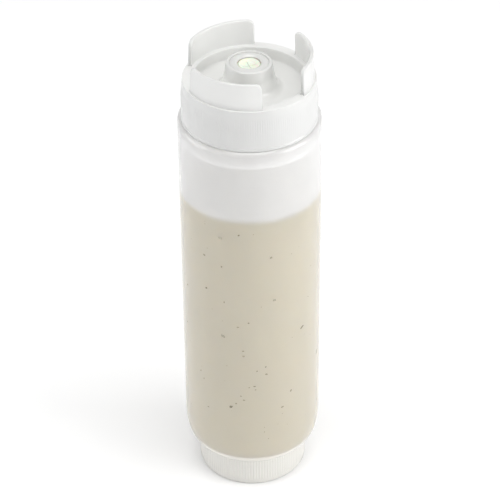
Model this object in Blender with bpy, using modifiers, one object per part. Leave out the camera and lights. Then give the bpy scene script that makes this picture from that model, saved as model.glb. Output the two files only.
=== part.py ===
"""Two-ended squeeze bottle for sauces.

A soft cylindrical bottle stands on a threaded refill cap.  Its wide top neck
carries a threaded dispensing cap with a recessed deck, a central nozzle that
holds a slit silicone valve under a retaining ring, and three curved standing
tabs that keep the valve off the table when the bottle is stored upside down.

Metres, +Z up.  The origin is the centre of the refill cap's resting face, and
every turned piece is centred on Z.  Angles for the tabs are measured from -Y
(the front) towards +X.
"""

import math

import bmesh
import bpy
from mathutils import Vector

MM = 0.001

# ---------------------------------------------------------------- dimensions
SEGMENTS = 48            # facets round the large turned pieces
SMALL_SEGMENTS = 32      # facets round the nozzle pieces

BODY_R = 35.0            # bottle body, outer radius
WALL = 1.1               # bottle wall
TOP_LEDGE_Z = 213.3      # flat shoulder under the dispensing cap
TOP_ROUND = 2.4          # radius of the shoulder's outer edge
NECK_R = 30.0            # dispensing neck, radius between its threads
NECK_IN_R = 28.75        # dispensing neck, bore
NECK_TOP_Z = 231.5

LOW_ROUND_Z = 34.0       # where the lower shoulder starts to turn in
LOW_ROUND_H = 15.0       # height of that turn
LOW_ROUND_W = 4.1        # and how far in it goes
LOW_UNDER_Z = 18.5       # underside of the lower shoulder, above the refill cap
REFILL_NECK_R = 25.0     # refill neck, radius between its threads
REFILL_NECK_IN_R = 23.6
REFILL_NECK_END_Z = 3.7

LEAD = 5.0               # both threads climb this much in one turn
THREAD_BASE = 2.2        # axial width of a thread at its foot
THREAD_CREST = 1.1       # axial width of a thread at its crest
THREAD_H = 1.1           # radial height of a thread
THREAD_FLANK_GAP = 2.1   # axial distance between mating ridges, centre to centre

SKIRT_R = 33.0           # dispensing cap skirt, outer radius at its foot
SKIRT_IN_R = 31.5
SKIRT_FOOT_Z = 213.9
RIM_Z = 234.8            # the flat rim that the tabs stand on
RIM_IN_R = 27.3          # wall of the recess inside the rim
CEILING_Z = 233.2        # underside of the rim
PLUG_R = 28.4            # outside of the recess wall, inside the neck
DECK_Z = 228.7           # floor of the recess
DECK_T = 1.5

BOSS_TOP_Z = 243.0       # nozzle
BOSS_R = 10.95
BOSS_BORE_R = 9.45       # holds the valve and its ring
BOSS_SHELF_Z = 239.7
BOSS_HOLE_R = 6.4

TAB_TOP_Z = 248.4
TAB_OUT_R = 31.25        # outer radius at the foot of a tab
TAB_T = 2.0
TAB_LEAN = 0.55          # how far a tab leans in at its top
TAB_HALF_DEG = 38.0
TAB_FIRST_DEG = -27.0
TAB_CORNER = 3.3
TAB_FOOT_SINK = 0.9      # how deep a tab's foot is buried in the rim

RING_R = 9.15            # valve retaining ring
RING_BORE_R = 5.6
RING_TOP_Z = 242.75
RING_T = 1.25
VALVE_FLANGE_R = 9.1
VALVE_HEAD_R = 5.25
SLIT_LENGTH = 6.8
SLIT_WIDTH = 0.25

REFILL_CAP_R = 28.05
REFILL_CAP_IN_R = 26.5
REFILL_CAP_TOP_Z = 17.6
REFILL_CAP_FLOOR = 1.8
REFILL_CAP_ROUND = 1.4

GASKET_GAP = 0.3
SAUCE_TOP_Z = 172.0
SAUCE_GAP = 0.3

# ---------------------------------------------------------------- materials
NATURAL_PE = (0.86, 0.86, 0.83, 1.0)
SAUCE_CREAM = (0.80, 0.74, 0.58, 1.0)
SILICONE = (0.74, 0.72, 0.60, 1.0)
SEAL_WHITE = (0.88, 0.88, 0.86, 1.0)


def clear_scene():
    for obj in list(bpy.data.objects):
        bpy.data.objects.remove(obj, do_unlink=True)


def new_collection(name, hidden=False):
    collection = bpy.data.collections.new(name)
    bpy.context.scene.collection.children.link(collection)
    collection.hide_render = hidden
    return collection


def material(name, colour, roughness, transmission=0.0):
    mat = bpy.data.materials.new(name)
    mat.use_nodes = True
    shader = mat.node_tree.nodes["Principled BSDF"]
    shader.inputs["Base Color"].default_value = colour
    shader.inputs["Roughness"].default_value = roughness
    shader.inputs["Metallic"].default_value = 0.0
    shader.inputs["Transmission Weight"].default_value = transmission
    return mat


def mesh_object(name, mesh, collection, mat=None):
    obj = bpy.data.objects.new(name, mesh)
    collection.objects.link(obj)
    if mat:
        mesh.materials.append(mat)
    return obj


def helper(obj):
    """A piece that only cuts or joins another one."""
    obj.hide_render = True
    obj.display_type = "WIRE"
    return obj


def smooth(obj, degrees=32.0):
    obj.data.shade_smooth()
    obj.data.set_sharp_from_angle(angle=math.radians(degrees))


def turned(name, profile, collection, mat=None, steps=SEGMENTS, closed=True):
    """A profile of (radius, height) points in mm, running down its outer side, turned round Z."""
    bm = bmesh.new()
    verts = [bm.verts.new((r * MM, 0.0, z * MM)) for r, z in profile]
    for a, b in zip(verts, verts[1:]):
        bm.edges.new((a, b))
    if closed:
        bm.edges.new((verts[-1], verts[0]))
    mesh = bpy.data.meshes.new(name)
    bm.to_mesh(mesh)
    bm.free()
    obj = mesh_object(name, mesh, collection, mat)
    screw = obj.modifiers.new("Turn", "SCREW")
    screw.axis = "Z"
    screw.angle = math.tau
    screw.steps = screw.render_steps = steps
    screw.use_merge_vertices = True
    screw.merge_threshold = 0.00005
    screw.use_smooth_shade = True
    return obj


def arc(centre, radii, start_deg, end_deg, count):
    """Points on a quarter of an ellipse, ends included."""
    points = []
    for i in range(count + 1):
        a = math.radians(start_deg + (end_deg - start_deg) * i / count)
        points.append((centre[0] + radii[0] * math.cos(a), centre[1] + radii[1] * math.sin(a)))
    return points


def thread(name, collection, root_r, outwards, start_z, start_turn, turns, steps=SEGMENTS):
    """A right-handed ridge of trapezium section that fades out at both ends.

    start_z is the height of the ridge's centre line where the angle is 0, and
    the ridge begins start_turn turns later.  Its foot is sunk in the wall.
    """
    sink = 0.45
    sign = 1.0 if outwards else -1.0
    count = round(turns * steps)
    fade = steps / 7.0
    bm = bmesh.new()
    rings = []
    for i in range(count + 1):
        turn = start_turn + i / steps
        grow = min(1.0, i / fade, (count - i) / fade)
        height = THREAD_H * (0.06 + 0.94 * grow)
        crest = THREAD_CREST / 2 * (0.5 + 0.5 * grow)
        foot = THREAD_BASE / 2 * (0.7 + 0.3 * grow)
        z = start_z + LEAD * turn
        angle = math.tau * turn
        section = [
            (root_r - sign * sink, z - foot),
            (root_r, z - foot),
            (root_r + sign * height, z - crest),
            (root_r + sign * height, z + crest),
            (root_r, z + foot),
            (root_r - sign * sink, z + foot),
        ]
        rings.append(
            [
                bm.verts.new((r * math.cos(angle) * MM, r * math.sin(angle) * MM, h * MM))
                for r, h in section
            ]
        )
    for a, b in zip(rings, rings[1:]):
        for j in range(len(a)):
            k = (j + 1) % len(a)
            bm.faces.new((a[j], a[k], b[k], b[j]))
    bm.faces.new(rings[0])
    bm.faces.new(rings[-1])
    bmesh.ops.recalc_face_normals(bm, faces=bm.faces)
    mesh = bpy.data.meshes.new(name)
    bm.to_mesh(mesh)
    bm.free()
    return helper(mesh_object(name, mesh, collection))


def boolean(obj, other, operation):
    mod = obj.modifiers.new(f"{operation.title()} {other.name}", "BOOLEAN")
    mod.operation = operation
    mod.solver = "EXACT"
    mod.object = other


def standing_tab(name, collection, centre_deg):
    """A curved upright tab: a bent sheet with rounded upper corners, thickened."""
    half = math.radians(TAB_HALF_DEG)
    mid_r = TAB_OUT_R - TAB_T / 2
    foot = RIM_Z - TAB_FOOT_SINK
    corner = TAB_CORNER / mid_r
    columns = []
    for i in range(6):
        a = math.pi / 2 * i / 5
        columns.append((corner * (1 - math.cos(a)), TAB_CORNER * (1 - math.sin(a))))
    span = 2 * half - 2 * corner
    middle = 9
    left = [(-half + d, drop) for d, drop in columns]
    centre = [(-half + corner + span * i / middle, 0.0) for i in range(1, middle)]
    right = [(half - d, drop) for d, drop in reversed(columns)]
    bm = bmesh.new()
    rows = []
    for offset, drop in left + centre + right:
        a = math.radians(centre_deg) + offset
        column = []
        top = TAB_TOP_Z - drop
        for share in (0.0, 1.0):
            z = foot + (top - foot) * share
            r = mid_r - TAB_LEAN * max(0.0, (z - RIM_Z) / (TAB_TOP_Z - RIM_Z))
            column.append(bm.verts.new((r * math.sin(a) * MM, -r * math.cos(a) * MM, z * MM)))
        rows.append(column)
    for a, b in zip(rows, rows[1:]):
        bm.faces.new((a[0], b[0], b[1], a[1]))
    mesh = bpy.data.meshes.new(name)
    bm.to_mesh(mesh)
    bm.free()
    obj = helper(mesh_object(name, mesh, collection))
    solid = obj.modifiers.new("Thickness", "SOLIDIFY")
    solid.thickness = TAB_T * MM
    solid.offset = 0.0
    solid.use_even_offset = True
    return obj


def bottle_profile():
    inner_top = TOP_LEDGE_Z - WALL
    outside = [
        (NECK_R - 0.35, NECK_TOP_Z),
        (NECK_R, NECK_TOP_Z - 0.35),
        (NECK_R, TOP_LEDGE_Z + 0.7),
        (NECK_R + 0.7, TOP_LEDGE_Z),
    ]
    outside += arc(
        (BODY_R - TOP_ROUND, TOP_LEDGE_Z - TOP_ROUND), (TOP_ROUND, TOP_ROUND), 90, 0, 4
    )
    outside += arc((BODY_R - LOW_ROUND_W, LOW_ROUND_Z), (LOW_ROUND_W, LOW_ROUND_H), 0, -85, 6)
    outside += [
        (BODY_R - LOW_ROUND_W - 1.6, LOW_UNDER_Z),
        (REFILL_NECK_R + 0.7, LOW_UNDER_Z),
        (REFILL_NECK_R, LOW_UNDER_Z - 0.7),
        (REFILL_NECK_R, REFILL_NECK_END_Z + 0.35),
        (REFILL_NECK_R - 0.35, REFILL_NECK_END_Z),
    ]
    inside = [
        (REFILL_NECK_IN_R, REFILL_NECK_END_Z),
        (REFILL_NECK_IN_R, LOW_UNDER_Z + 0.6),
        (REFILL_NECK_IN_R + 1.2, LOW_UNDER_Z + WALL + 0.4),
    ]
    inside += arc(
        (BODY_R - LOW_ROUND_W - WALL, LOW_ROUND_Z),
        (LOW_ROUND_W, LOW_ROUND_H - WALL - 0.1),
        -85,
        0,
        5,
    )
    inside += arc(
        (BODY_R - TOP_ROUND - WALL, inner_top - TOP_ROUND + 0.4),
        (TOP_ROUND, TOP_ROUND - 0.4),
        0,
        90,
        3,
    )
    inside += [(NECK_IN_R + 0.6, inner_top), (NECK_IN_R, inner_top + 0.9), (NECK_IN_R, NECK_TOP_Z)]
    return outside + inside


def sauce_profile():
    r = BODY_R - WALL - SAUCE_GAP
    neck = REFILL_NECK_IN_R - SAUCE_GAP
    low = LOW_UNDER_Z + WALL + 0.4 + SAUCE_GAP
    profile = [(0.0, SAUCE_TOP_Z), (r - 0.5, SAUCE_TOP_Z), (r, SAUCE_TOP_Z + 0.4)]
    profile += arc(
        (BODY_R - LOW_ROUND_W - WALL - SAUCE_GAP, LOW_ROUND_Z + 0.4),
        (LOW_ROUND_W, LOW_ROUND_Z + 0.4 - low - 0.2),
        0,
        -85,
        5,
    )
    profile += [
        (neck + 1.2, low + 0.1),
        (neck, low - 0.6),
        (neck, REFILL_CAP_FLOOR + 0.4),
        (0.0, REFILL_CAP_FLOOR + 0.4),
    ]
    return profile


def dispensing_cap_profile():
    under = DECK_Z - DECK_T
    return [
        # rim and skirt, outside
        (RIM_IN_R + 0.6, RIM_Z),
        (31.6, RIM_Z),
        (32.25, RIM_Z - 0.7),
        (32.6, RIM_Z - 3.8),
        (32.85, RIM_Z - 7.8),
        (SKIRT_R, RIM_Z - 13.0),
        (SKIRT_R + 0.05, SKIRT_FOOT_Z + 0.4),
        (SKIRT_R - 0.25, SKIRT_FOOT_Z),
        # skirt, inside
        (SKIRT_IN_R + 0.2, SKIRT_FOOT_Z),
        (SKIRT_IN_R, SKIRT_FOOT_Z + 0.5),
        (SKIRT_IN_R, CEILING_Z - 2.2),
        (SKIRT_IN_R - 0.35, CEILING_Z),
        # plug wall, outside, and the underside of the deck
        (PLUG_R, CEILING_Z),
        (PLUG_R, under + 0.7),
        (PLUG_R - 0.5, under),
        (13.6, under),
        # hollow of the nozzle
        (12.0, under + 1.8),
        (9.6, BOSS_SHELF_Z - 4.0),
        (7.6, BOSS_SHELF_Z - 1.5),
        (BOSS_HOLE_R, BOSS_SHELF_Z - 1.5),
        (BOSS_HOLE_R, BOSS_SHELF_Z),
        (BOSS_BORE_R, BOSS_SHELF_Z),
        (BOSS_BORE_R, BOSS_TOP_Z),
        # nozzle, outside
        (BOSS_R - 0.5, BOSS_TOP_Z),
        (BOSS_R, BOSS_TOP_Z - 0.6),
        (BOSS_R + 0.9, BOSS_TOP_Z - 6.0),
        (BOSS_R + 2.2, DECK_Z + 3.0),
        (BOSS_R + 3.9, DECK_Z + 0.6),
        (BOSS_R + 5.4, DECK_Z),
        # deck and the recess wall
        (RIM_IN_R - 0.7, DECK_Z),
        (RIM_IN_R, DECK_Z + 0.7),
        (RIM_IN_R, RIM_Z - 0.5),
    ]


def refill_cap_profile():
    r, top = REFILL_CAP_R, REFILL_CAP_TOP_Z
    profile = [
        (0.0, REFILL_CAP_FLOOR),
        (REFILL_CAP_IN_R, REFILL_CAP_FLOOR),
        (REFILL_CAP_IN_R, top),
        (r - 0.35, top),
        (r, top - 0.35),
    ]
    profile += arc((r - REFILL_CAP_ROUND, REFILL_CAP_ROUND), (REFILL_CAP_ROUND,) * 2, 0, -90, 3)
    return profile + [(0.0, 0.0)]


def ring_profile(inner, outer, low, high, chamfer=0.2):
    return [
        (inner, high),
        (outer - chamfer, high),
        (outer, high - chamfer),
        (outer, low + chamfer),
        (outer - chamfer, low),
        (inner, low),
    ]


def valve_profile():
    flange_low = BOSS_SHELF_Z + GASKET_GAP
    flange_high = RING_TOP_Z - RING_T - GASKET_GAP
    r = VALVE_HEAD_R
    top = [(0.0, flange_high - 0.7), (r * 0.45, flange_high - 0.5), (r * 0.8, flange_high + 0.2)]
    rim = [(r - 0.35, flange_high + 0.75), (r, flange_high + 0.6), (r, flange_high)]
    flange = [(VALVE_FLANGE_R, flange_high), (VALVE_FLANGE_R, flange_low)]
    under = [(r + 0.6, flange_low), (r * 0.8, flange_low - 0.6), (r * 0.45, flange_low - 1.1)]
    return top + rim + flange + under + [(0.0, flange_low - 1.25)]


def make():
    clear_scene()
    parts = new_collection("two_ended_squeeze_bottle")
    tools = new_collection("joining_and_cutting_shapes", hidden=True)

    bottle_plastic = material("bottle_natural_polyethylene", NATURAL_PE, 0.32, 0.55)
    cap_plastic = material("dispensing_cap_natural_polypropylene", NATURAL_PE, 0.30, 0.5)
    refill_plastic = material("refill_cap_natural_polypropylene", NATURAL_PE, 0.34, 0.45)
    silicone = material("valve_silicone", SILICONE, 0.45, 0.2)
    ring_plastic = material("retaining_ring_natural_polypropylene", NATURAL_PE, 0.3, 0.4)
    top_seal = material("cap_gasket_silicone", SEAL_WHITE, 0.5, 0.2)
    low_seal = material("refill_gasket_silicone", SEAL_WHITE, 0.5, 0.2)
    cream = material("cream_sauce", SAUCE_CREAM, 0.35)

    # Bottle: one shell, open at both necks, with a thread on each.
    bottle = turned("bottle", bottle_profile(), parts, bottle_plastic)
    boolean(bottle, thread("bottle_top_thread", tools, NECK_R, True, 217.2, 0.0, 1.6), "UNION")
    boolean(
        bottle, thread("bottle_refill_thread", tools, REFILL_NECK_R, True, 6.0, 0.0, 1.5), "UNION"
    )

    # Dispensing cap: skirt, rim, recess, nozzle and three tabs in one moulding.
    cap = turned("dispensing_cap", dispensing_cap_profile(), parts, cap_plastic)
    boolean(
        cap,
        thread(
            "dispensing_cap_thread",
            tools,
            SKIRT_IN_R,
            False,
            217.2 - THREAD_FLANK_GAP,
            0.25,
            1.6,
        ),
        "UNION",
    )
    for i in range(3):
        tab = standing_tab(f"tab_{i + 1}", tools, TAB_FIRST_DEG + 120.0 * i)
        boolean(cap, tab, "UNION")

    # Silicone valve with its cross slit, held down by a ring.
    valve = turned(
        "silicone_valve", valve_profile(), parts, silicone, steps=SMALL_SEGMENTS, closed=False
    )
    for i in range(2):
        bpy.ops.mesh.primitive_cube_add(size=1.0, location=(0.0, 0.0, 240.5 * MM))
        slit = bpy.context.active_object
        slit.name = f"valve_slit_{i + 1}"
        slit.scale = (SLIT_LENGTH * MM, SLIT_WIDTH * MM, 8.0 * MM)
        slit.rotation_euler = (0.0, 0.0, math.radians(20.0 + 90.0 * i))
        for owner in list(slit.users_collection):
            owner.objects.unlink(slit)
        tools.objects.link(slit)
        helper(slit)
        boolean(valve, slit, "DIFFERENCE")
    ring = turned(
        "valve_retaining_ring",
        ring_profile(RING_BORE_R, RING_R, RING_TOP_Z - RING_T, RING_TOP_Z, 0.25),
        parts,
        ring_plastic,
        steps=SMALL_SEGMENTS,
    )

    # Flat seals in the two caps.
    cap_gasket = turned(
        "cap_gasket",
        ring_profile(
            PLUG_R + GASKET_GAP,
            SKIRT_IN_R - 0.75,
            NECK_TOP_Z + GASKET_GAP,
            CEILING_Z - GASKET_GAP,
        ),
        parts,
        top_seal,
    )
    refill_gasket = turned(
        "refill_cap_gasket",
        ring_profile(
            REFILL_NECK_IN_R + 0.2,
            REFILL_CAP_IN_R - 0.35,
            REFILL_CAP_FLOOR + GASKET_GAP,
            REFILL_NECK_END_Z - GASKET_GAP,
        ),
        parts,
        low_seal,
    )

    # Refill cap, which the bottle stands on.
    refill = turned(
        "refill_cap", refill_cap_profile(), parts, refill_plastic, closed=False
    )
    boolean(
        refill,
        thread(
            "refill_cap_thread",
            tools,
            REFILL_CAP_IN_R,
            False,
            6.0 + THREAD_FLANK_GAP,
            -0.25,
            1.45,
        ),
        "UNION",
    )

    # What the bottle holds.
    sauce = turned("sauce_fill", sauce_profile(), parts, cream, closed=False)

    # The two screw axes.
    for name, z, children in (
        ("dispensing_cap_axis", NECK_TOP_Z, (cap, valve, ring, cap_gasket)),
        ("refill_cap_axis", REFILL_NECK_END_Z, (refill, refill_gasket)),
    ):
        axis = bpy.data.objects.new(name, None)
        axis.empty_display_type = "SINGLE_ARROW"
        axis.empty_display_size = 0.03
        axis.location = Vector((0.0, 0.0, z * MM))
        parts.objects.link(axis)
        bpy.context.view_layer.update()
        for child in children:
            child.parent = axis
            child.matrix_parent_inverse = axis.matrix_world.inverted()

    for obj in (bottle, cap, valve, ring, cap_gasket, refill, refill_gasket, sauce):
        smooth(obj)
    bpy.context.view_layer.update()


make()
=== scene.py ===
"""Looks of the two-ended squeeze bottle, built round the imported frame.

Every shown piece is a fine mesh made here from the same dimensions as its CAD
solid, in millimetres in the functions and metres in the scene.  Angles "phi"
are in degrees from -Y (the front) towards +X.
"""

import math
import random

import bmesh
import bpy
import numpy as np
from mathutils import Matrix, Vector


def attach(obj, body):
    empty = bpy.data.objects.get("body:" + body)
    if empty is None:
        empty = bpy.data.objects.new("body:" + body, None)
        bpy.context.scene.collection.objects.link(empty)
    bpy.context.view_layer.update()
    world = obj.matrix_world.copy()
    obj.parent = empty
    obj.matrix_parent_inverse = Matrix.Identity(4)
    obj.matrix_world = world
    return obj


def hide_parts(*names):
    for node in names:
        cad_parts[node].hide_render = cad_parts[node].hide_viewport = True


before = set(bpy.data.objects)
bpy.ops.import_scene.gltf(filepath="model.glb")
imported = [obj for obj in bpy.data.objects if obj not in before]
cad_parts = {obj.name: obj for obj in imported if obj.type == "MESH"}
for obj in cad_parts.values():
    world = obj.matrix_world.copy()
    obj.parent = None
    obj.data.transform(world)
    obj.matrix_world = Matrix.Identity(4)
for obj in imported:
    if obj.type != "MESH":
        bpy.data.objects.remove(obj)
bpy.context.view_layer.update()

MM = 0.001
TAU = math.tau

# ------------------------------------------------------------------ dimensions
BODY_R, WALL = 35.0, 1.1
TOP_LEDGE_Z, TOP_ROUND = 213.3, 2.4
NECK_R, NECK_IN_R, NECK_TOP_Z = 30.0, 28.75, 231.5
LOW_ROUND_Z, LOW_ROUND_H, LOW_ROUND_W = 34.0, 15.0, 4.1
LOW_UNDER_Z = 18.5
REFILL_NECK_R, REFILL_NECK_IN_R, REFILL_NECK_END_Z = 25.0, 23.6, 3.7
LEAD, THREAD_BASE, THREAD_CREST, THREAD_H, THREAD_FLANK_GAP = 5.0, 2.2, 1.1, 1.1, 2.1

SKIRT_R, SKIRT_IN_R, SKIRT_FOOT_Z = 33.0, 31.5, 213.9
RIM_Z, RIM_IN_R, CEILING_Z, PLUG_R = 234.8, 27.3, 233.2, 28.4
DECK_Z, DECK_T = 228.7, 1.5
BOSS_TOP_Z, BOSS_R, BOSS_BORE_R, BOSS_SHELF_Z, BOSS_HOLE_R = 243.0, 10.95, 9.45, 239.7, 6.4
TAB_TOP_Z, TAB_OUT_R, TAB_T, TAB_LEAN = 248.4, 31.25, 2.0, 0.55
TAB_HALF, TAB_FIRST, TAB_CORNER = 38.0, -27.0, 3.3
RING_R, RING_BORE_R, RING_TOP_Z, RING_T = 9.15, 5.6, 242.75, 1.25
VALVE_FLANGE_R, VALVE_HEAD_R = 9.1, 5.25
REFILL_CAP_R, REFILL_CAP_IN_R, REFILL_CAP_TOP_Z = 28.05, 26.5, 17.6
REFILL_CAP_FLOOR, REFILL_CAP_ROUND = 1.8, 1.4
GASKET_GAP = 0.3
SAUCE_TOP_Z = 172.0

SKIRT_RIBS = 180
REFILL_RIBS = 120


# ------------------------------------------------------------------ mesh tools
def place(phi, r, z):
    a = math.radians(phi)
    return (r * math.sin(a) * MM, -r * math.cos(a) * MM, z * MM)


def smoothstep(x):
    x = min(1.0, max(0.0, x))
    return x * x * (3 - 2 * x)


def rounded(points, closed=True):
    """Points (r, z, radius, tag) with each corner of a radius above 0 turned into an arc; returns (r, z, tag)."""
    out = []
    n = len(points)
    for i, (r, z, radius, tag) in enumerate(points):
        if radius <= 0 or (not closed and i in (0, n - 1)):
            out.append((r, z, tag))
            continue
        p = np.array((r, z))
        a = np.array(points[i - 1][:2]) - p
        b = np.array(points[(i + 1) % n][:2]) - p
        la, lb = np.linalg.norm(a), np.linalg.norm(b)
        a, b = a / la, b / lb
        half = math.acos(max(-1.0, min(1.0, float(a @ b)))) / 2
        if half > math.radians(88):
            out.append((r, z, tag))
            continue
        reach = min(radius / math.tan(half), 0.48 * la, 0.48 * lb)
        radius = reach * math.tan(half)
        mid = (a + b) / np.linalg.norm(a + b)
        centre = p + mid * radius / math.sin(half)
        start = p + a * reach - centre
        end = p + b * reach - centre
        a0 = math.atan2(start[1], start[0])
        turn = (math.atan2(end[1], end[0]) - a0 + math.pi) % TAU - math.pi
        steps = max(2, round(abs(turn) / math.radians(18)))
        for k in range(steps + 1):
            t = a0 + turn * k / steps
            out.append((float(centre[0] + radius * math.cos(t)), float(centre[1] + radius * math.sin(t)), tag))
    return out


def divided(points, step, tags, closed=True):
    """Adds points along the stretches whose both ends have one of these tags."""
    out = []
    n = len(points)
    for i, (r, z, tag) in enumerate(points):
        out.append((r, z, tag))
        if i == n - 1 and not closed:
            break
        r2, z2, tag2 = points[(i + 1) % n]
        gap = math.hypot(r2 - r, z2 - z)
        if tag in tags and tag2 == tag and gap > 1.5 * step:
            count = round(gap / step)
            for k in range(1, count):
                s = k / count
                out.append((r + (r2 - r) * s, z + (z2 - z) * s, tag))
    return out


def swept(name, phis, profile_at, closed=True):
    """Joins one profile for each angle into a closed surface round Z. profile_at(phi, i) gives (r, z) points."""
    columns = [profile_at(phi, i) for i, phi in enumerate(phis)]
    count = len(columns[0])
    points = np.array(columns, float)
    angle = np.radians(np.array(phis, float))[:, None]
    r, z = points[:, :, 0], points[:, :, 1]
    co = np.stack([r * np.sin(angle), -r * np.cos(angle), z], -1).reshape(-1, 3) * MM
    n = len(phis)
    faces = []
    last = count if closed else count - 1
    for i in range(n):
        j = (i + 1) % n
        for k in range(last):
            m = (k + 1) % count
            faces.append((i * count + k, j * count + k, j * count + m, i * count + m))
    mesh = bpy.data.meshes.new(name)
    mesh.from_pydata([tuple(map(float, c)) for c in co], [], faces)
    bm = bmesh.new()
    bm.from_mesh(mesh)
    bmesh.ops.remove_doubles(bm, verts=bm.verts, dist=2e-6)
    bmesh.ops.dissolve_degenerate(bm, edges=bm.edges, dist=1e-6)
    bmesh.ops.recalc_face_normals(bm, faces=bm.faces)
    bm.to_mesh(mesh)
    bm.free()
    obj = bpy.data.objects.new(name, mesh)
    bpy.context.scene.collection.objects.link(obj)
    mesh.shade_smooth()
    mesh.set_sharp_from_angle(angle=math.radians(38))
    return obj


def lathe(name, profile, segments=192, closed=True, angle=38):
    phis = [360.0 * i / segments for i in range(segments)]
    fixed = [(r, z) for r, z, *_ in profile]
    return swept(name, phis, lambda phi, i: fixed, closed)


def ridge(phi, z, start_z, start_turn, turns):
    """How high the thread stands, from 0 to 1, at this angle and height. The thread is right-handed."""
    part = (phi / 360.0 - 0.25) % 1.0
    best = 0.0
    k0 = round((z - start_z) / LEAD - part)
    for k in (k0 - 1, k0, k0 + 1):
        t = k + part
        if not start_turn <= t <= start_turn + turns:
            continue
        grow = smoothstep(min(1.0, (t - start_turn) * 7.0, (start_turn + turns - t) * 7.0))
        crest = THREAD_CREST / 2 * (0.5 + 0.5 * grow)
        foot = THREAD_BASE / 2 * (0.7 + 0.3 * grow)
        off = abs(z - start_z - LEAD * t)
        if off < foot:
            best = max(best, grow * smoothstep((foot - off) / (foot - crest)))
    return best


def arc(centre, radii, start, end, count, tag=""):
    out = []
    for i in range(count + 1):
        a = math.radians(start + (end - start) * i / count)
        out.append((centre[0] + radii[0] * math.cos(a), centre[1] + radii[1] * math.sin(a), tag))
    return out


# ------------------------------------------------------------------ materials
class Nodes:
    """A short way to write a Principled material with a node pattern."""

    def __init__(self, name, **values):
        self.mat = bpy.data.materials.new(name)
        self.mat.use_nodes = True
        self.nt = self.mat.node_tree
        self.shader = self.nt.nodes["Principled BSDF"]
        for key, value in values.items():
            self.shader.inputs[key.replace("_", " ")].default_value = value
        self.where = self.nt.nodes.new("ShaderNodeTexCoord").outputs["Object"]

    def put(self, socket, value):
        if isinstance(value, bpy.types.NodeSocket):
            self.nt.links.new(value, socket)
        else:
            socket.default_value = value

    def scaled(self, scale):
        n = self.nt.nodes.new("ShaderNodeMapping")
        self.nt.links.new(self.where, n.inputs["Vector"])
        n.inputs["Scale"].default_value = scale
        return n.outputs["Vector"]

    def noise(self, scale, detail=2.0, rough=0.5, stretch=(1, 1, 1), distortion=0.0):
        n = self.nt.nodes.new("ShaderNodeTexNoise")
        self.nt.links.new(self.scaled(stretch), n.inputs["Vector"])
        n.inputs["Scale"].default_value = scale
        n.inputs["Detail"].default_value = detail
        n.inputs["Roughness"].default_value = rough
        n.inputs["Distortion"].default_value = distortion
        return n.outputs["Fac"]

    def dots(self, scale, size, stretch=(1, 1, 1), share=0.5):
        """1 inside small round spots, one in each cell of a scattered grid, in this share of the cells."""
        n = self.nt.nodes.new("ShaderNodeTexVoronoi")
        self.nt.links.new(self.scaled(stretch), n.inputs["Vector"])
        n.inputs["Scale"].default_value = scale
        n.inputs["Randomness"].default_value = 1.0
        near = self.ramp(n.outputs["Distance"], [(size * 0.45, 1.0), (size, 0.0)])
        split = self.nt.nodes.new("ShaderNodeSeparateColor")
        self.nt.links.new(n.outputs["Color"], split.inputs["Color"])
        some = self.ramp(split.outputs["Red"], [(1 - share - 0.001, 0.0), (1 - share, 0.35), (1.0, 1.0)])
        return self.math("MULTIPLY", near, some)

    def ramp(self, fac, stops):
        n = self.nt.nodes.new("ShaderNodeValToRGB")
        self.nt.links.new(fac, n.inputs["Fac"])
        elements = n.color_ramp.elements
        while len(elements) < len(stops):
            elements.new(0.5)
        for e, (at, colour) in zip(elements, stops):
            e.position = at
            e.color = colour if hasattr(colour, "__len__") else (colour, colour, colour, 1.0)
        return n.outputs["Color"]

    def range(self, value, low, high, to_low, to_high):
        n = self.nt.nodes.new("ShaderNodeMapRange")
        self.nt.links.new(value, n.inputs["Value"])
        for key, v in (("From Min", low), ("From Max", high), ("To Min", to_low), ("To Max", to_high)):
            n.inputs[key].default_value = v
        return n.outputs["Result"]

    def math(self, kind, a, b=0.0):
        n = self.nt.nodes.new("ShaderNodeMath")
        n.operation = kind
        self.put(n.inputs[0], a)
        self.put(n.inputs[1], b)
        return n.outputs["Value"]

    def mix(self, fac, a, b, kind="MIX"):
        n = self.nt.nodes.new("ShaderNodeMix")
        n.data_type = "RGBA"
        n.blend_type = kind
        self.put(n.inputs["Factor"], fac)
        self.put(n.inputs["A"], a)
        self.put(n.inputs["B"], b)
        return n.outputs["Result"]

    def bump(self, height, distance, strength=1.0, before=None):
        n = self.nt.nodes.new("ShaderNodeBump")
        self.nt.links.new(height, n.inputs["Height"])
        n.inputs["Distance"].default_value = distance
        n.inputs["Strength"].default_value = strength
        if before is not None:
            self.nt.links.new(before, n.inputs["Normal"])
        return n.outputs["Normal"]

    def drive(self, key, value):
        self.nt.links.new(value, self.shader.inputs[key])


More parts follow.
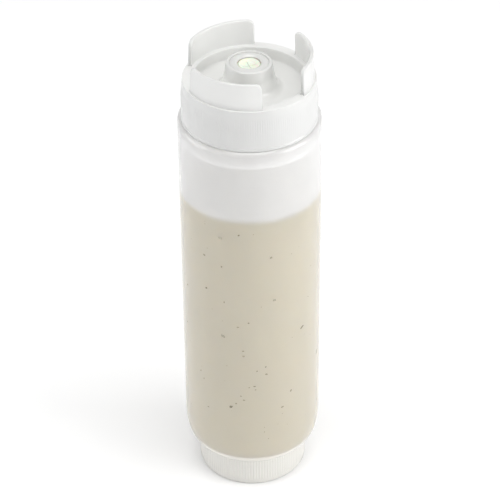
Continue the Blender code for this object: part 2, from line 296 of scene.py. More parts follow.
def natural_plastic(
    name,
    tint,
    clear,
    roughness,
    under=0.5,
    depth=0.003,
    scuffs=0.5,
    wavy=0.00004,
    ior=1.45,
    fade=None,
    foot=None,
    below=None,
):
    """Unpigmented polyolefin: milky, lets soft light through, with a fine skin and light handling marks."""
    m = Nodes(
        name,
        Metallic=0.0,
        IOR=ior,
        Transmission_Weight=clear,
        Subsurface_Weight=under,
        Subsurface_Scale=depth,
        Specular_IOR_Level=0.5,
        Coat_Weight=0.9,
        Coat_Roughness=0.12,
        Coat_IOR=1.6,
    )
    m.shader.inputs["Subsurface Radius"].default_value = (1.0, 1.0, 0.95)
    cloud = m.noise(38.0, 3.0, 0.55)
    haze = m.noise(9.0, 2.0, 0.5, (1, 1, 0.35))
    light = tuple(min(1.0, c * 1.01) for c in tint) + (1.0,)
    dark = tuple(c * 0.985 for c in tint) + (1.0,)
    colour = m.mix(m.range(cloud, 0.3, 0.7, 0.0, 1.0), dark, light)
    veil = tuple(c * k for c, k in zip(tint, (0.985, 0.99, 0.985))) + (1.0,)
    colour = m.mix(m.range(haze, 0.4, 0.75, 0.0, 0.6), colour, veil)
    rub = m.noise(420.0, 4.0, 0.6, (1, 1, 0.12), 0.4)
    marks = m.range(rub, 0.56, 0.72, 0.0, 0.10 * scuffs)
    base = m.range(cloud, 0.25, 0.75, roughness - 0.04, roughness + 0.05)
    m.drive("Roughness", m.math("ADD", base, marks))
    wave = m.bump(m.noise(55.0, 1.0, 0.5, (1, 1, 0.5)), wavy, 1.0)
    skin = m.bump(m.noise(2600.0, 2.0, 0.6), 0.00001, 0.55, wave)
    m.drive("Normal", skin)
    if fade:
        # how clear it is changes between two heights: sauce that wets the wall makes it clearer
        split = m.nt.nodes.new("ShaderNodeSeparateXYZ")
        m.nt.links.new(m.where, split.inputs["Vector"])
        edge = m.math("ADD", split.outputs["Z"], m.range(m.noise(30.0, 2.0), 0.3, 0.7, -0.0006, 0.0006))
        share = m.range(edge, fade[0], fade[1], clear, fade[2])
        if foot:
            # the heel of the moulding is thicker, so it stays milky
            heel = m.range(split.outputs["Z"], foot[0], foot[1], 1.0, 0.0)
            share = m.math("SUBTRACT", share, m.math("MULTIPLY", heel, clear - foot[2]))
        m.drive("Transmission Weight", share)
        if below:
            # painted light: round the sauce the wall's colour is made warmer and darker, for the light that has
            # been through the sauce
            painted_sauce_tint = tuple(c * k for c, k in zip(tint, below)) + (1.0,)
            colour = m.mix(m.range(edge, fade[0], fade[1], 1.0, 0.0), colour, painted_sauce_tint)
        if foot:
            warm = tuple(c * k for c, k in zip(tint, (0.94, 0.91, 0.85))) + (1.0,)
            colour = m.mix(heel, colour, warm)
    m.drive("Base Color", colour)
    return m.mat


def cream_sauce(name):
    """Thick dressing: cream ground, faint lighter and darker patches, pepper specks and paler herb crumbs."""
    m = Nodes(
        name,
        Metallic=0.0,
        IOR=1.42,
        Subsurface_Weight=0.35,
        Subsurface_Scale=0.004,
        Specular_IOR_Level=0.4,
    )
    m.shader.inputs["Subsurface Radius"].default_value = (1.0, 0.8, 0.5)
    patch = m.noise(48.0, 4.0, 0.6)
    fine = m.noise(700.0, 3.0, 0.6)
    colour = m.mix(m.range(patch, 0.32, 0.68, 0.0, 1.0), (0.650, 0.590, 0.425, 1), (0.700, 0.640, 0.475, 1))
    colour = m.mix(m.range(fine, 0.45, 0.75, 0.0, 0.30), colour, (0.75, 0.70, 0.54, 1))
    crumbs = m.dots(190.0, 0.16, share=0.30)
    colour = m.mix(m.math("MULTIPLY", crumbs, 0.30), colour, (0.42, 0.42, 0.30, 1))
    pepper = m.dots(340.0, 0.14, share=0.12)
    colour = m.mix(m.math("MULTIPLY", pepper, 0.55), colour, (0.16, 0.14, 0.09, 1))
    m.drive("Base Color", colour)
    m.drive("Roughness", m.range(patch, 0.3, 0.7, 0.32, 0.44))
    m.drive("Normal", m.bump(m.noise(900.0, 3.0, 0.55), 0.00002, 0.6))
    return m.mat


def herb(name, dark, light):
    m = Nodes(name, Metallic=0.0, Roughness=0.6, Specular_IOR_Level=0.3)
    m.drive("Base Color", m.mix(m.noise(900.0, 3.0, 0.6), dark, light))
    m.drive("Roughness", m.range(m.noise(1200.0), 0.3, 0.7, 0.5, 0.75))
    return m.mat


def silicone(name, tint, weight):
    m = Nodes(
        name,
        Metallic=0.0,
        IOR=1.41,
        Transmission_Weight=weight,
        Subsurface_Weight=0.6,
        Subsurface_Scale=0.003,
        Specular_IOR_Level=0.45,
    )
    cloud = m.noise(120.0, 3.0)
    m.drive(
        "Base Color",
        m.mix(cloud, tuple(c * 0.97 for c in tint) + (1,), tuple(min(1, c * 1.02) for c in tint) + (1,)),
    )
    m.drive("Roughness", m.range(m.noise(500.0, 3.0), 0.3, 0.7, 0.34, 0.5))
    m.drive("Normal", m.bump(m.noise(2200.0, 2.0), 0.00001, 0.5))
    return m.mat


# ------------------------------------------------------------------ pieces
def bottle_mesh():
    inner_top = TOP_LEDGE_Z - WALL
    outer = [
        (NECK_R, NECK_TOP_Z, 0.45, "t"),
        (NECK_R, TOP_LEDGE_Z, 0.8, "t"),
        (BODY_R, TOP_LEDGE_Z, TOP_ROUND, "b"),
        (BODY_R, LOW_ROUND_Z, 0, "b"),
    ]
    shoulder = arc((BODY_R - LOW_ROUND_W, LOW_ROUND_Z), (LOW_ROUND_W, LOW_ROUND_H), 0, -84, 16)
    outer += [(r, z, 0, "") for r, z, _ in shoulder[1:]]
    outer += [
        (BODY_R - LOW_ROUND_W - 1.4, LOW_UNDER_Z + 0.05, 0.7, ""),
        (REFILL_NECK_R, LOW_UNDER_Z, 0.8, "u"),
        (REFILL_NECK_R, REFILL_NECK_END_Z, 0.45, "u"),
    ]
    inside = [
        (REFILL_NECK_IN_R, REFILL_NECK_END_Z, 0.3, ""),
        (REFILL_NECK_IN_R, LOW_UNDER_Z + WALL + 0.2, 1.2, ""),
    ]
    low = arc(
        (BODY_R - LOW_ROUND_W - WALL, LOW_ROUND_Z), (LOW_ROUND_W, LOW_ROUND_H - WALL - 0.1), -84, 0, 14
    )
    inside += [(r, z, 0, "") for r, z, _ in low]
    inside += [
        (BODY_R - WALL, inner_top, TOP_ROUND - 0.5, ""),
        (NECK_IN_R, inner_top, 0.9, ""),
        (NECK_IN_R, NECK_TOP_Z, 0.3, ""),
    ]
    points = rounded(outer + inside)
    inside_count = len(rounded([outer[-1]] + inside + [outer[0]], closed=False)) - 2
    points = divided(points, 0.42, ("t", "u"))
    points = divided(points, 6.0, ("b",))

    marks = np.array([(r, z) for r, z, _ in points])
    is_inner = np.zeros(len(points), bool)
    is_inner[len(points) - inside_count :] = True

    def at(phi, i):
        column = []
        for r, z, tag in points:
            if tag == "t" and abs(r - NECK_R) < 0.02:
                r += THREAD_H * ridge(phi, z, 217.2, 0.0, 1.6)
            elif tag == "u" and abs(r - REFILL_NECK_R) < 0.02:
                r += THREAD_H * ridge(phi, z, 6.0, 0.0, 1.5)
            column.append((r, z))
        return column

    obj = swept("bottle_shell", [360.0 * i / 216 for i in range(216)], at)
    # the inner faces, which touch the sauce or the air inside, get the second material
    for face in obj.data.polygons:
        x, y, z = face.center
        gap = (marks[:, 0] - math.hypot(x, y) / MM) ** 2 + (marks[:, 1] - z / MM) ** 2
        face.material_index = int(is_inner[int(gap.argmin())])
    return obj


def tab_contour(d, top_rows=5):
    """Section of a tab at a distance d mm from its nearest end, inner foot to outer foot, as (r, z) points."""
    drop = 0.0
    if d < TAB_CORNER:
        drop = TAB_CORNER - math.sqrt(max(0.0, TAB_CORNER**2 - (TAB_CORNER - d) ** 2))
    nose = 0.65
    thin = 0.0
    if d < nose:
        thin = nose - math.sqrt(max(0.0, nose**2 - (nose - d) ** 2))
    top = TAB_TOP_Z - drop
    mid = TAB_OUT_R - TAB_T / 2
    half = TAB_T / 2 - thin
    rad = min(0.6, half * 0.9)

    def lean(z):
        return TAB_LEAN * max(0.0, (z - RIM_Z) / (TAB_TOP_Z - RIM_Z))

    taper = 0.12
    rows = 8
    foot = 0.5
    points = []
    for k in range(4):
        a = math.pi / 2 * k / 4
        points.append((mid - half - foot * (1 - math.sin(a)), RIM_Z + foot * (1 - math.cos(a))))
    for k in range(rows + 1):
        z = RIM_Z + foot + (top - rad - RIM_Z - foot) * k / rows
        up = (z - RIM_Z) / (TAB_TOP_Z - RIM_Z)
        points.append((mid - half + taper * up - lean(z), z))
    for k in range(1, top_rows + 1):
        a = math.pi / 2 * k / top_rows
        points.append((mid - half + taper - lean(top) + rad * (1 - math.cos(a)), top - rad + rad * math.sin(a)))
    for k in range(top_rows):
        a = math.pi / 2 * (1 - k / top_rows)
        points.append((mid + half - taper - lean(top) - rad * (1 - math.cos(a)), top - rad + rad * math.sin(a)))
    for k in range(rows + 1):
        z = top - rad - (top - rad - RIM_Z) * k / rows
        up = (z - RIM_Z) / (TAB_TOP_Z - RIM_Z)
        points.append((mid + half - taper * up - lean(z), z))
    return points


def cap_mesh():
    under = DECK_Z - DECK_T
    before = [(RIM_IN_R, RIM_Z, 0.4, "")]
    after = [
        (32.1, RIM_Z, 0.42, ""),
        (32.62, RIM_Z - 4.0, 2.0, "s"),
        (32.95, RIM_Z - 10.0, 2.0, "s"),
        (SKIRT_R + 0.03, SKIRT_FOOT_Z + 0.95, 0.3, ""),
        (SKIRT_R + 0.42, SKIRT_FOOT_Z + 0.55, 0.3, ""),
        (SKIRT_R + 0.42, SKIRT_FOOT_Z - 0.55, 0.25, ""),
        (SKIRT_IN_R, SKIRT_FOOT_Z - 0.55, 0.25, "i"),
        (SKIRT_IN_R, CEILING_Z - 2.2, 0.4, "i"),
        (SKIRT_IN_R - 0.35, CEILING_Z, 0.5, ""),
        (PLUG_R, CEILING_Z, 0.4, ""),
        (PLUG_R, under, 0.6, ""),
        (12.9, under, 0.8, ""),
        (9.4, BOSS_SHELF_Z - 3.2, 1.5, ""),
        (7.9, BOSS_SHELF_Z - 1.5, 0.6, ""),
        (BOSS_HOLE_R, BOSS_SHELF_Z - 1.5, 0.3, ""),
        (BOSS_HOLE_R, BOSS_SHELF_Z, 0.3, ""),
        (BOSS_BORE_R, BOSS_SHELF_Z, 0.2, ""),
        (BOSS_BORE_R, BOSS_TOP_Z, 0.35, ""),
        (BOSS_R, BOSS_TOP_Z, 0.7, ""),
        (BOSS_R + 0.9, BOSS_TOP_Z - 6.0, 4.0, ""),
        (BOSS_R + 2.4, DECK_Z + 2.4, 3.0, ""),
        (BOSS_R + 5.2, DECK_Z, 2.5, ""),
        (RIM_IN_R, DECK_Z, 0.8, ""),
    ]
    ring = rounded(before + after)
    # The first corner's arc comes first; it leads from the recess wall to the rim's flat.
    count_before = len(rounded([after[-1], before[0], after[0]], closed=False)) - 2
    head, tail = ring[:count_before], ring[count_before:]
    tail = divided(tail, 0.45, ("i",), closed=False)
    tail = divided(tail, 1.4, ("s",), closed=False)
    inner = TAB_OUT_R - TAB_T - 0.5

    contour_n = len(tab_contour(10.0))
    flat = [
        (inner + (TAB_OUT_R - inner) * k / (contour_n - 1), RIM_Z) for k in range(contour_n)
    ]
    phis, kinds = [], []
    mid_r = TAB_OUT_R - TAB_T / 2
    near = [0.0, 0.02, 0.06, 0.13, 0.24, 0.38, 0.52, 0.65, 0.95, 1.3, 1.75, 2.3, 2.8, 3.3]
    marks = []
    for t in range(3):
        centre = TAB_FIRST + 120.0 * t
        for side in (-1, 1):
            end = centre + side * TAB_HALF
            marks.append((end, "flat", side))
            for d in near:
                marks.append((end - side * math.degrees(d / mid_r), "tab", side))
    entries = []
    for phi, kind, side in marks:
        # at a tab's end the flat column comes first on its left side and last on its right side
        order = side * (1 if kind == "flat" else 0)
        entries.append(((phi + 720.0) % 360.0, order, kind))
    taken = sorted(e[0] for e in entries)
    for i in range(SKIRT_RIBS * 4):
        phi = 360.0 * i / (SKIRT_RIBS * 4)
        if min(abs(phi - x) for x in taken) > 0.03:
            entries.append((phi, 0, "plain"))
    entries.sort(key=lambda e: (round(e[0], 6), e[1]))

    def column(entry):
        phi, _, kind = entry
        points = [(r, z) for r, z, _ in head]
        off = None
        for t in range(3):
            centre = TAB_FIRST + 120.0 * t
            gap = (phi - centre + 180.0) % 360.0 - 180.0
            if abs(gap) <= TAB_HALF + 1e-6:
                off = math.radians(TAB_HALF - abs(gap)) * mid_r
        points += flat if (kind == "flat" or off is None) else tab_contour(max(0.0, off))
        rib = 0.5 - 0.5 * math.cos(math.radians(phi * SKIRT_RIBS))
        for r, z, tag in tail:
            if tag == "s":
                fade = smoothstep((RIM_Z - 4.2 - z) / 2.0) * smoothstep((z - SKIRT_FOOT_Z - 0.7) / 0.9)
                r += 0.14 * fade * (rib**1.5 - 0.6)
            elif tag == "i" and abs(r - SKIRT_IN_R) < 0.02:
                r -= THREAD_H * ridge(phi, z, 217.2 - THREAD_FLANK_GAP, 0.25, 1.6)
            points.append((r, z))
        return points

    columns = [column(e) for e in entries]
    obj = swept("cap_moulding", [e[0] for e in entries], lambda phi, i: columns[i])
    # the outside of the skirt and of the tabs gets the second material: clearer, as these walls are thinner than
    # the deck, and with a darker tint than the inside faces; the two tints, lighter inside and darker outside,
    # are painted light and shade
    for face in obj.data.polygons:
        x, y, z = face.center
        flat = math.hypot(x, y) / MM
        tab_outside = z > (RIM_Z + 0.1) * MM and flat > TAB_OUT_R - 1.25
        face.material_index = int(flat > 31.95 or tab_outside)
    return obj


def refill_cap_mesh():
    r, top = REFILL_CAP_R, REFILL_CAP_TOP_Z
    points = rounded(
        [
            (0.0, 0.55, 0, ""),
            (20.6, 0.55, 0.5, ""),
            (21.4, 0.0, 0.5, ""),
            (r - 0.1, 0.0, REFILL_CAP_ROUND, ""),
            (r, top, 0.4, "s"),
            (REFILL_CAP_IN_R, top, 0.35, "i"),
            (REFILL_CAP_IN_R, REFILL_CAP_FLOOR, 0.4, "i"),
            (0.0, REFILL_CAP_FLOOR, 0, ""),
        ],
        closed=False,
    )
    lead_in = []
    for a, b in zip(points, points[1:]):
        lead_in.append(a)
        if a[2] == "" and b[2] == "s" and b[1] - a[1] > 4:
            for k in range(1, 12):
                s = k / 12
                lead_in.append((a[0] + (b[0] - a[0]) * s, a[1] + (b[1] - a[1]) * s, "s"))
    lead_in.append(points[-1])
    points = divided(lead_in, 0.45, ("i",), closed=False)

    def at(phi, i):
        column = []
        rib = 0.5 - 0.5 * math.cos(math.radians(phi * REFILL_RIBS))
        for rr, z, tag in points:
            if tag == "s":
                fade = smoothstep((top - 0.9 - z) / 1.0) * smoothstep((z - 1.3) / 0.9)
                rr += 0.21 * fade * (rib**1.4 - 0.75)
            elif tag == "i" and abs(rr - REFILL_CAP_IN_R) < 0.02:
                rr -= THREAD_H * ridge(phi, z, 6.0 + THREAD_FLANK_GAP, -0.25, 1.45)
            column.append((rr, z))
        return column

    return swept("refill_cap_moulding", [0.75 * i for i in range(480)], at, closed=False)


def gasket_mesh(name, inner, outer, low, high):
    mid = (low + high) / 2
    points = rounded(
        [
            (inner, high, 0.25, ""),
            (inner + (outer - inner) * 0.5, high, 0, ""),
            (outer, high, 0.25, ""),
            (outer, low, 0.25, ""),
            (inner + (outer - inner) * 0.62, low, 0.1, ""),
            (inner + (outer - inner) * 0.5, low + (mid - low) * 0.45, 0.2, ""),
            (inner + (outer - inner) * 0.38, low, 0.1, ""),
            (inner, low, 0.25, ""),
        ]
    )
    return lathe(name, points)


def ring_mesh():
    low, high = RING_TOP_Z - RING_T, RING_TOP_Z
    points = rounded(
        [
            (RING_BORE_R, high - 0.5, 0.3, ""),
            (RING_BORE_R + 1.0, high + 0.1, 1.0, ""),
            (RING_R - 0.9, high + 0.1, 1.0, ""),
            (BOSS_BORE_R - 0.03, high - 0.3, 0.25, ""),
            (BOSS_BORE_R - 0.03, low, 0.3, ""),
            (RING_BORE_R, low, 0.25, ""),
        ]
    )
    return lathe("retaining_ring", points, 128)


def valve_mesh():
    low, high = BOSS_SHELF_Z + GASKET_GAP, RING_TOP_Z - RING_T - GASKET_GAP
    r = VALVE_HEAD_R
    points = rounded(
        [
            (0.0, high - 0.72, 0, ""),
            (r * 0.3, high - 0.66, 1.0, ""),
            (r * 0.6, high - 0.33, 1.0, ""),
            (r * 0.85, high + 0.45, 0.8, ""),
            (r - 0.3, high + 0.8, 0.25, ""),
            (r, high + 0.55, 0.25, ""),
            (r, high, 0.3, ""),
            (VALVE_FLANGE_R, high, 0.25, ""),
            (VALVE_FLANGE_R, low, 0.25, ""),
            (r + 0.6, low, 0.4, ""),
            (r * 0.8, low - 0.6, 1.0, ""),
            (r * 0.45, low - 1.1, 1.0, ""),
            (0.0, low - 1.25, 0, ""),
        ],
        closed=False,
    )
    obj = lathe("slit_valve", points, 128, closed=False)
    for k in range(2):
        bpy.ops.mesh.primitive_cube_add(size=1.0, location=(0, 0, 240.5 * MM))
        knife = bpy.context.active_object
        knife.scale = (6.8 * MM, 0.16 * MM, 8 * MM)
        knife.rotation_euler = (0, 0, math.radians(20 + 90 * k))
        cut = obj.modifiers.new(f"slit_{k}", "BOOLEAN")
        cut.operation, cut.solver, cut.object = "DIFFERENCE", "EXACT", knife
        bpy.context.view_layer.objects.active = obj
        bpy.context.view_layer.update()
        graph = bpy.context.evaluated_depsgraph_get()
        fresh = bpy.data.meshes.new_from_object(obj.evaluated_get(graph))
        obj.modifiers.clear()
        obj.data = fresh
        bpy.data.objects.remove(knife)
    obj.data.set_sharp_from_angle(angle=math.radians(38))
    return obj


SAUCE_R = BODY_R - WALL + 0.2


def sauce_mesh():
    neck = REFILL_NECK_IN_R + 0.1
    shoulder = arc(
        (BODY_R - LOW_ROUND_W - WALL + 0.2, LOW_ROUND_Z), (LOW_ROUND_W, LOW_ROUND_H - WALL + 0.05), 0, -84, 14
    )
    profile = [
        (0.0, SAUCE_TOP_Z, ""),
        (12.0, SAUCE_TOP_Z, ""),
        (24.0, SAUCE_TOP_Z, ""),
        (29.0, SAUCE_TOP_Z, ""),
        (31.5, SAUCE_TOP_Z + 0.05, ""),
        (32.7, SAUCE_TOP_Z + 0.22, ""),
        (33.4, SAUCE_TOP_Z + 0.6, ""),
        (33.75, SAUCE_TOP_Z + 1.1, ""),
        (SAUCE_R, SAUCE_TOP_Z + 1.6, ""),
    ]
    z = SAUCE_TOP_Z - 2.0
    while z > LOW_ROUND_Z + 4:
        profile.append((SAUCE_R, z, ""))
        z -= 5.0
    profile += shoulder
    profile += [
        (neck + 1.4, LOW_UNDER_Z + WALL + 0.15, ""),
        (neck + 0.4, LOW_UNDER_Z + WALL - 0.25, ""),
        (neck, LOW_UNDER_Z + WALL - 1.0, ""),
        (neck, 10.0, ""),
        (neck, 3.2, ""),
        (neck - 0.2, REFILL_CAP_FLOOR + 0.15, ""),
        (0.0, REFILL_CAP_FLOOR + 0.15, ""),
    ]
    rng = random.Random(11)
    waves = [(rng.uniform(1, 4), rng.uniform(0, TAU), rng.uniform(0.08, 0.22)) for _ in range(5)]

    def at(phi, i):
        a = math.radians(phi)
        lift = sum(h * math.sin(round(n) * a + p) for n, p, h in waves)
        column = []
        for k, (r, z, _) in enumerate(profile):
            if 0 < k < 9:
                z += lift * (r / 34.0) ** 2
                z += 0.12 * math.sin(5 * a + r * 0.3) * min(1.0, r / 10.0) * (1 if k < 6 else 0)
            column.append((r, z))
        return column

    return swept("sauce_body", [2.0 * i for i in range(180)], at, closed=False)


# Larger crumbs that show near the front: angle, height, long and short size, tilt, darkness (0 to 1).
CRUMBS = [
    (-39.3, 129.5, 1.5, 1.1, 60, 1.0), (-9.6, 166.4, 1.0, 0.8, 20, 0.9), (16.3, 152.3, 1.6, 1.2, 50, 0.45),
    (19.0, 126.0, 1.7, 1.3, 10, 0.5), (-2.5, 113.2, 0.9, 0.7, 0, 0.7), (46.3, 102.1, 2.6, 1.0, 28, 0.9),
    (-40.7, 149.2, 1.6, 1.2, 0, 0.35), (-24.3, 145.9, 1.2, 0.9, 90, 0.3), (-25.1, 163.0, 2.2, 1.8, 0, 0.25),
    (-65.7, 122.1, 1.6, 1.1, 40, 0.4), (-22.6, 124.4, 1.1, 0.6, 85, 0.3), (-11.2, 110.2, 1.3, 0.9, 20, 0.3),
    (-68.4, 97.5, 1.2, 0.5, 80, 0.7), (-24.1, 102.8, 2.4, 1.3, -25, 0.6), (-7.1, 95.3, 1.2, 0.8, 10, 0.45),
    (-6.8, 92.0, 1.3, 0.8, 0, 0.3), (11.4, 84.7, 1.0, 0.7, 70, 0.45), (12.1, 79.9, 1.3, 0.8, 0, 0.5),
    (4.2, 82.5, 1.1, 0.6, 80, 0.5), (2.1, 72.6, 1.2, 0.6, 10, 0.75), (-2.5, 71.8, 0.8, 0.5, 0, 0.5),
    (2.8, 70.3, 0.8, 0.6, 0, 0.4), (-6.8, 63.4, 1.5, 0.6, 5, 0.55), (-9.4, 65.9, 1.0, 0.6, 0, 0.3),
    (-18.0, 57.9, 1.9, 1.4, 45, 1.0), (-13.6, 60.6, 1.0, 0.7, 30, 0.6), (71.4, 75.9, 3.2, 0.8, 82, 0.7),
    (-48.1, 74.1, 1.2, 0.7, 60, 0.25), (-44.5, 70.0, 1.1, 0.6, 90, 0.25), (-40.4, 52.6, 1.4, 0.7, 0, 0.25),
    (26.2, 56.0, 1.7, 1.0, 15, 0.3), (34.5, 64.7, 1.5, 1.0, 60, 0.35), (-24.1, 30.9, 1.4, 1.0, 0, 0.3),
    (36.4, 28.7, 1.8, 1.3, 0, 0.3), (-5.6, 29.3, 1.5, 0.8, 0, 0.25),
]


def crumbs_mesh(name, rows, seed):
    """Flat torn flakes that lie against the inside of the wall."""
    rng = random.Random(seed)
    bm = bmesh.new()
    for phi, z, long, short, tilt, _ in rows:
        r = BODY_R - 0.06
        a = math.radians(phi)
        out = Vector((math.sin(a), -math.cos(a), 0))
        side = Vector((math.cos(a), math.sin(a), 0))
        up = Vector((0, 0, 1))
        t = math.radians(tilt)
        u = side * math.cos(t) + up * math.sin(t)
        v = up * math.cos(t) - side * math.sin(t)
        centre = out * r + up * z
        sides = 9
        outline = []
        for k in range(sides):
            b = TAU * k / sides
            wobble = rng.uniform(0.68, 1.12)
            outline.append((math.cos(b) * long * 0.62 * wobble, math.sin(b) * short * 0.62 * wobble))
        layers = []
        for share, lift in ((0.8, 0.08), (1.0, 0.0), (0.6, -0.12)):
            ring = []
            for x, y in outline:
                p = centre + u * x * share + v * y * share + out * lift
                flat = math.hypot(p.x, p.y)
                bend = (r + lift) / flat
                ring.append(bm.verts.new((p.x * bend * MM, p.y * bend * MM, p.z * MM)))
            layers.append(ring)
        for a_ring, b_ring in zip(layers, layers[1:]):
            for k in range(sides):
                m = (k + 1) % sides
                bm.faces.new((a_ring[k], a_ring[m], b_ring[m], b_ring[k]))
        bm.faces.new(layers[0])
        bm.faces.new(layers[-1])
    bmesh.ops.recalc_face_normals(bm, faces=bm.faces)
    mesh = bpy.data.meshes.new(name)
    bm.to_mesh(mesh)
    bm.free()
    obj = bpy.data.objects.new(name, mesh)
    bpy.context.scene.collection.objects.link(obj)
    mesh.shade_smooth()
    return obj


def crumb_rows():
    rng = random.Random(5)
    rows = list(CRUMBS)
    # the sides and the back, and small ones everywhere
    for _ in range(95):
        phi = rng.uniform(75, 290)
        z = rng.uniform(27, 168)
        long = rng.choice((0.7, 0.9, 1.1, 1.3, 1.6, 2.2))
        rows.append((phi, z, long, long * rng.uniform(0.4, 0.85), rng.uniform(0, 180), rng.uniform(0.2, 1.0)))
    for _ in range(90):
        phi = rng.uniform(0, 360)
        z = rng.uniform(24, 170)
        long = rng.uniform(0.3, 0.62)
        rows.append((phi, z, long, long * rng.uniform(0.5, 0.9), rng.uniform(0, 180), rng.uniform(0.15, 0.75)))
    kept = []
    for row in rows:
        if row[1] < 36:
            # the shoulder turns in here, so only crumbs that still lie on the wall are kept
            continue
        kept.append(row)
    return kept


# ------------------------------------------------------------------ build
def dress(obj, body, mat, slot, *nodes):
    for one in mat if isinstance(mat, tuple) else (mat,):
        obj.data.materials.append(one)
    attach(obj, body)
    if nodes:
        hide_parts(*nodes)
    return obj


pe = (0.952, 0.946, 0.938)
# the cap's tint is lighter than the tint of its outside faces: painted light for the shaded recess, deck and tab
# insides
pp_inside_lightened = (0.97, 0.971, 0.95)
bottle_mat = natural_plastic(
    "bottle_polyethylene",
    pe,
    0.76,
    0.34,
    0.0,
    ior=1.3,
    fade=(SAUCE_TOP_Z * MM, (SAUCE_TOP_Z + 3.5) * MM, 0.50),
    foot=(0.0222, 0.0245, 0.25),
    below=(0.985, 0.965, 0.91),
)
bottle_skin = natural_plastic(
    "bottle_inner_skin", (0.97, 0.965, 0.96), 0.12, 0.5, 0.0, ior=1.3, fade=(0.198, 0.2125, 0.6)
)
# painted light and shade: the cap's inside faces get the lighter tint and the outsides of the skirt and tabs the
# darker one
cap_mat = natural_plastic("cap_polypropylene", pp_inside_lightened, 0.26, 0.34, 0.0, fade=(0.2350, 0.2375, 0.40))
cap_outside_darkened_mat = natural_plastic("cap_outside_darkened_polypropylene", (0.92, 0.92, 0.912), 0.44, 0.36, 0.0)
# painted light, partly: the refill cap's tint is warmer and darker than the other plastics, partly its own colour
# and partly the cream of the sauce seen through it
refill_mat = natural_plastic("refill_cap_polypropylene", (0.905, 0.888, 0.84), 0.28, 0.36, 0.0)
ring_mat = natural_plastic("ring_polypropylene", (0.89, 0.89, 0.87), 0.35, 0.38, 0.0)

dress(bottle_mesh(), "bottle", (bottle_mat, bottle_skin), "bottle", "bottle")
dress(cap_mesh(), "dispensing_cap", (cap_mat, cap_outside_darkened_mat), "dispensing_cap", "dispensing_cap")
dress(refill_cap_mesh(), "refill_cap", refill_mat, "refill_cap", "refill_cap")
dress(ring_mesh(), "dispensing_cap", ring_mat, "retaining_ring", "valve_retaining_ring")
dress(
    valve_mesh(),
    "dispensing_cap",
    silicone("valve_silicone", (0.86, 0.84, 0.73), 0.04),
    "valve",
    "silicone_valve",
)
dress(
    gasket_mesh(
        "upper_seal", PLUG_R + GASKET_GAP, SKIRT_IN_R - 0.75, NECK_TOP_Z + GASKET_GAP, CEILING_Z - GASKET_GAP
    ),
    "dispensing_cap_seal",
    silicone("upper_seal_silicone", (0.88, 0.88, 0.86), 0.2),
    "cap_gasket",
    "cap_gasket",
)
dress(
    gasket_mesh(
        "lower_seal",
        REFILL_NECK_IN_R + 0.2,
        REFILL_CAP_IN_R - 0.35,
        REFILL_CAP_FLOOR + GASKET_GAP,
        REFILL_NECK_END_Z - GASKET_GAP,
    ),
    "refill_cap_seal",
    silicone("lower_seal_silicone", (0.88, 0.88, 0.86), 0.2),
    "refill_cap_gasket",
    "refill_cap_gasket",
)
dress(sauce_mesh(), "bottle", cream_sauce("cream_dressing"), "sauce", "sauce_fill")
rows = crumb_rows()
for label, low, high, dark, light in (
    ("dark", 0.65, 1.01, (0.25, 0.23, 0.17, 1), (0.37, 0.34, 0.27, 1)),
    ("middle", 0.4, 0.65, (0.41, 0.385, 0.31, 1), (0.49, 0.455, 0.375, 1)),
    ("pale", 0.0, 0.4, (0.47, 0.44, 0.36, 1), (0.55, 0.51, 0.42, 1)),
):
    chosen = [row for row in rows if low <= row[5] < high]
    dress(
        crumbs_mesh(f"herb_flakes_{label}", chosen, 3),
        "bottle",
        herb(f"herb_{label}", dark, light),
        "sauce",
    )


# ------------------------------------------------------------------ stage
def floor():
    bm = bmesh.new()
    rings = []
    for r in (0.0, 0.3, 0.8, 2.0, 6.0):
        rings.append([bm.verts.new((r * math.cos(TAU * k / 48), r * math.sin(TAU * k / 48), 0)) for k in range(48)] if r else [bm.verts.new((0, 0, 0))])
    for k in range(48):
        bm.faces.new((rings[0][0], rings[1][k], rings[1][(k + 1) % 48]))
    for a, b in zip(rings[1:], rings[2:]):
        for k in range(48):
            m = (k + 1) % 48
            bm.faces.new((a[k], b[k], b[m], a[m]))
    mesh = bpy.data.meshes.new("studio_floor")
    bm.to_mesh(mesh)
    bm.free()
    obj = bpy.data.objects.new("studio_floor", mesh)
    bpy.context.scene.collection.objects.link(obj)
    obj.location.z = -0.0002
    m = Nodes("floor_paper", Metallic=0.0, Roughness=0.9, Specular_IOR_Level=0.1)
    m.drive("Base Color", m.mix(m.noise(3.0), (0.965, 0.965, 0.965, 1), (0.98, 0.98, 0.98, 1)))
    mesh.materials.append(m.mat)


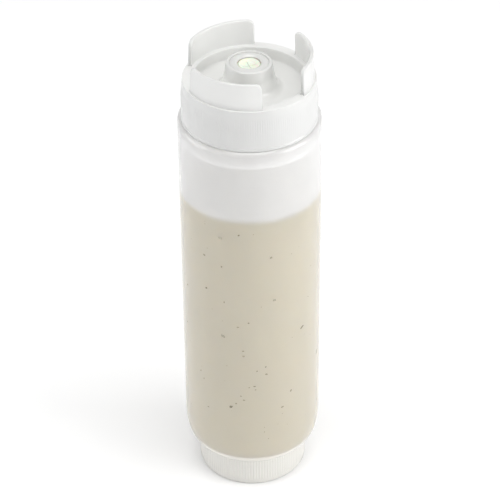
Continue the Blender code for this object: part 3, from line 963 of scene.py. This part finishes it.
def area(name, azimuth, elevation, distance, size, energy, colour=(1, 1, 1), target=0.13):
    """A soft box. azimuth is from the front towards +X."""
    light = bpy.data.lights.new(name, "AREA")
    light.shape = "RECTANGLE"
    light.size, light.size_y = size
    light.energy = energy
    light.color = colour
    obj = bpy.data.objects.new(name, light)
    a, e = math.radians(azimuth), math.radians(elevation)
    at = Vector((0, 0, target))
    obj.location = at + distance * Vector((math.sin(a) * math.cos(e), -math.cos(a) * math.cos(e), math.sin(e)))
    obj.rotation_euler = (obj.location - at).to_track_quat("Z", "Y").to_euler()
    bpy.context.scene.collection.objects.link(obj)
    return obj


def camera():
    """The view that the object is shown from: above the front, close enough for its shape to taper."""
    pitch, distance, target = 0.6295124, 1.0936195, 0.1326253
    pan, roll = -0.00041278, -0.00929543
    eye = Vector((0, -distance * math.cos(pitch), target + distance * math.sin(pitch)))
    ahead = Vector((0, math.cos(pitch), -math.sin(pitch)))
    right = Vector((1, 0, 0))
    c, s = math.cos(pan), math.sin(pan)
    ahead, right = ahead * c + right * s, right * c - ahead * s
    up = right.cross(ahead)
    c, s = math.cos(roll), math.sin(roll)
    right, up = right * c + up * s, up * c - right * s
    data = bpy.data.cameras.new("camera")
    data.lens = 2174.2325 / 500 * 36
    data.sensor_width = 36
    data.clip_start, data.clip_end = 0.05, 30
    obj = bpy.data.objects.new("camera", data)
    turn = Matrix((right, up, -ahead)).transposed().to_4x4()
    obj.matrix_world = Matrix.Translation(eye) @ turn
    bpy.context.scene.collection.objects.link(obj)
    bpy.context.scene.camera = obj


def studio():
    world = bpy.data.worlds.new("studio_white")
    bpy.context.scene.world = world
    world.use_nodes = True
    back = world.node_tree.nodes["Background"]
    back.inputs["Color"].default_value = (1.0, 1.0, 1.0, 1)
    back.inputs["Strength"].default_value = 0.66
    area("right_box", 70, 18, 1.3, (0.9, 0.9), 9.0)
    area("left_box", -88, 15, 1.4, (1.0, 1.0), 4.6, (0.97, 0.985, 1.0))
    area("top_box", 8, 79, 1.3, (0.9, 0.9), 7.0)
    bpy.context.scene.view_settings.view_transform = "Standard"
    bpy.context.scene.view_settings.look = "None"


floor()
camera()
studio()
